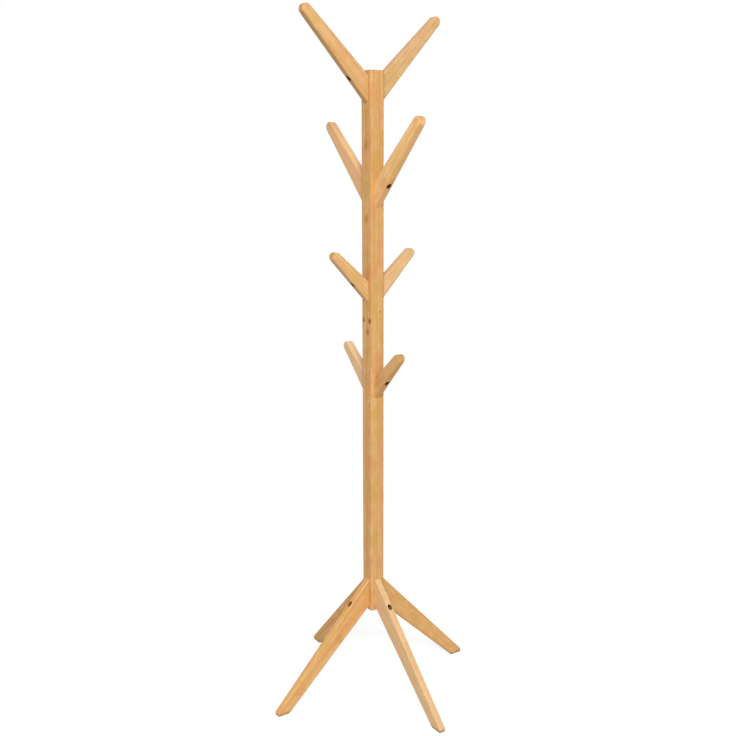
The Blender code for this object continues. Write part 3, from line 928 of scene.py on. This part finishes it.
def stud_mesh(length, radius):
    """A double-ended stud, threaded all along."""
    shank = screwed(STUD_CHAMFER, length - STUD_CHAMFER, radius, STUD_PITCH)
    profile = [(0.0, radius - STUD_CHAMFER), *shank, (length, radius - STUD_CHAMFER)]

    def relief(out, reach, angle, step):
        return THREAD_DEPTH * thread(out, angle, STUD_PITCH) if reach == radius else 0.0

    return turned_mesh("stud", profile, FITTING_FACETS, relief)


def insert_mesh(length, radius):
    """A threaded insert: a coarse thread for wood outside, a collar at its mouth, and a bore."""
    bore = radius * INSERT_BORE
    collar = length - INSERT_COLLAR
    outside = screwed(INSERT_TAPER, collar - INSERT_TAPER, radius, INSERT_PITCH)
    profile = [(0.0, bore), (0.0, radius - INSERT_THREAD), *outside, (collar, radius - INSERT_THREAD),
               (collar, radius), (length, radius), (length, bore)]

    def relief(out, reach, angle, step):
        if reach == radius and out < collar:
            return INSERT_THREAD * thread(out, angle, INSERT_PITCH)
        return 0.0

    return turned_mesh("insert", profile, FITTING_FACETS, relief, hollow=True)


def dowel_mesh(length, radius):
    """A fluted dowel with chamfered ends."""
    bevel = DOWEL_CHAMFER
    count = round(length / STATION)
    body = [(bevel + (length - 2 * bevel) * step / count, radius) for step in range(count + 1)]

    def relief(out, reach, angle, step):
        return FLUTE_DEPTH * (0.5 - 0.5 * math.cos(FLUTES * angle))

    profile = [(0.0, radius - bevel), *body, (length, radius - bevel)]
    return turned_mesh("dowel", profile, FLUTES * FLUTE_STEPS, relief)


def build_fittings():
    """Bolts, inserts, studs and dowels. Those of one kind and size share a mesh."""
    brass = metal("insert_brass", BRASS, metallic=1.0, gloss=(0.28, 0.5), fineness=260.0)
    black = metal("black_steel", BLACK_STEEL, metallic=0.9, gloss=(0.35, 0.6), fineness=500.0)
    zinc = metal("stud_zinc", ZINC, metallic=1.0, gloss=(0.3, 0.5), fineness=300.0)
    kinds = {
        "bolt": (bolt_mesh, "socket_", "bolt_steel", black),
        "insert": (insert_mesh, "threaded_", "insert_brass", brass),
        "stud_insert": (insert_mesh, "threaded_", "insert_brass", brass),
        "stud": (stud_mesh, "threaded_", "stud_steel", zinc),
        "dowel": (dowel_mesh, "fluted_", "dowel_beech", beech("dowel_beech")),
    }
    meshes = {}
    for name in sorted(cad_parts):
        kind = "stud_insert" if name.startswith("stud_insert") else name.split("_")[0]
        if kind not in kinds:
            continue
        make, prefix, slot, finish = kinds[kind]
        place, length, radius = fitting(name)
        size = (make, round(length, 4), round(radius, 4))
        if size not in meshes:
            meshes[size] = make(length, radius)
            meshes[size].materials.append(finish)
            shade(meshes[size])
        piece = new_piece(prefix + name, meshes[size])
        piece.matrix_world = place
        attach(piece, "root")
        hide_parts(name)


# ------------------------------------------------------------------ studio


def direction(heading, rise):
    """From the object towards a place that many degrees round from the front to the left, and above."""
    heading, rise = math.radians(heading), math.radians(rise)
    return Vector((-math.sin(heading) * math.cos(rise), -math.cos(heading) * math.cos(rise), math.sin(rise)))


def seen_by_camera(graph, direct, lit):
    """One shader where the camera looks straight at it, and another for the light that it gives."""
    sight = graph.add("ShaderNodeLightPath", {}).outputs["Is Camera Ray"]
    return graph.add("ShaderNodeMixShader", {0: sight, 1: lit, 2: direct}).outputs[0]


def build_floor():
    """Plain pale paper, which shows white with a faint shadow and throws a softer light back up."""
    shape = bmesh.new()
    bmesh.ops.create_grid(shape, x_segments=8, y_segments=8, size=FLOOR_REACH)
    mesh = bpy.data.meshes.new("floor")
    shape.to_mesh(mesh)
    shape.free()
    floor = new_piece("floor", mesh)
    floor.location.z = -FLOOR_DROP
    material, graph = new_material("floor_paper")
    grey, bounce = [(tone, tone, tone, 1.0) for tone in (PAPER_GREY, FLOOR_BOUNCE)]
    paper = graph.add("ShaderNodeBsdfPrincipled", {
        "Base Color": grey, "Roughness": 1.0, "Specular IOR Level": 0.0,
        "Emission Color": WHITE, "Emission Strength": PAPER_GLOW,
    })
    white = graph.add("ShaderNodeEmission", {})
    place = graph.add("ShaderNodeNewGeometry", {}).outputs["Position"]
    fade = graph.step(graph.vector("LENGTH", place), *PAPER_CLEAR)
    seen = graph.add("ShaderNodeMixShader", {0: fade, 1: paper.outputs[0], 2: white.outputs[0]}).outputs[0]
    lit = graph.add("ShaderNodeBsdfDiffuse", {"Color": bounce}).outputs[0]
    graph.add("ShaderNodeOutputMaterial", {"Surface": seen_by_camera(graph, seen, lit)})
    mesh.materials.append(material)


def build_room():
    """A white room: white to look at, with a soft light that is stronger from behind than from in front."""
    world = bpy.data.worlds.new("studio")
    bpy.context.scene.world = world
    world.use_nodes = True
    graph = Graph(world.node_tree)
    way = graph.add("ShaderNodeTexCoord", {}).outputs["Generated"]
    ahead = graph.vector("DOT_PRODUCT", way, tuple(direction(CAMERA_HEADING, 0.0)))
    strength = graph.step(ahead, *ROOM_TURN, *ROOM_LIGHT)
    look = graph.add("ShaderNodeBackground", {"Color": WHITE}).outputs[0]
    light = graph.add("ShaderNodeBackground", {"Color": WHITE, "Strength": strength}).outputs[0]
    graph.add("ShaderNodeOutputWorld", {"Surface": seen_by_camera(graph, look, light)})


def build_key():
    """One large soft lamp, in front and above."""
    lamp = bpy.data.lights.new("key", "AREA")
    lamp.shape, lamp.size, lamp.energy = "SQUARE", KEY_SIZE, KEY_POWER
    key = bpy.data.objects.new("key", lamp)
    towards = direction(KEY_HEADING, KEY_RISE)
    key.location = Vector((0.0, 0.0, KEY_AIM)) + towards * KEY_DISTANCE
    key.rotation_euler = (-towards).to_track_quat("-Z", "Y").to_euler()
    bpy.context.scene.collection.objects.link(key)


def build_camera():
    lens = bpy.data.cameras.new("camera")
    lens.lens, lens.sensor_width = CAMERA_LENS, SENSOR_WIDTH
    lens.shift_x, lens.shift_y = CAMERA_SHIFT
    camera = bpy.data.objects.new("camera", lens)
    camera.location = direction(CAMERA_HEADING, 0.0) * CAMERA_DISTANCE + Vector((0.0, 0.0, CAMERA_HEIGHT))
    turns = (90 - CAMERA_PITCH, CAMERA_ROLL, -CAMERA_HEADING)
    camera.rotation_euler = [math.radians(turn) for turn in turns]
    bpy.context.scene.collection.objects.link(camera)
    bpy.context.scene.camera = camera


def build_wood():
    """The post, and the arms and legs, each from a log of its own."""
    random.seed(LOG_SEED)
    for seed, node in enumerate(sorted(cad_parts), start=1):
        kind = node.split("_")[0]
        if kind == "post":
            build_post(node, POST_WOOD, seed)
        elif kind in ("arm", "leg"):
            across = random.uniform(-PITH_ACROSS, PITH_ACROSS)
            beyond = random.choice((-1, 1)) * random.uniform(*PITH_BEYOND)
            log = {**PLAIN_WOOD, "pith": (across, beyond), "start": seed * LOG_STEP}
            wood = {**log, **BOARD_WOODS.get(node, {})}
            build_board(node, wood, seed)


build_wood()
build_fittings()
build_floor()
build_room()
build_key()
build_camera()
bpy.context.scene.view_settings.view_transform = "Standard"
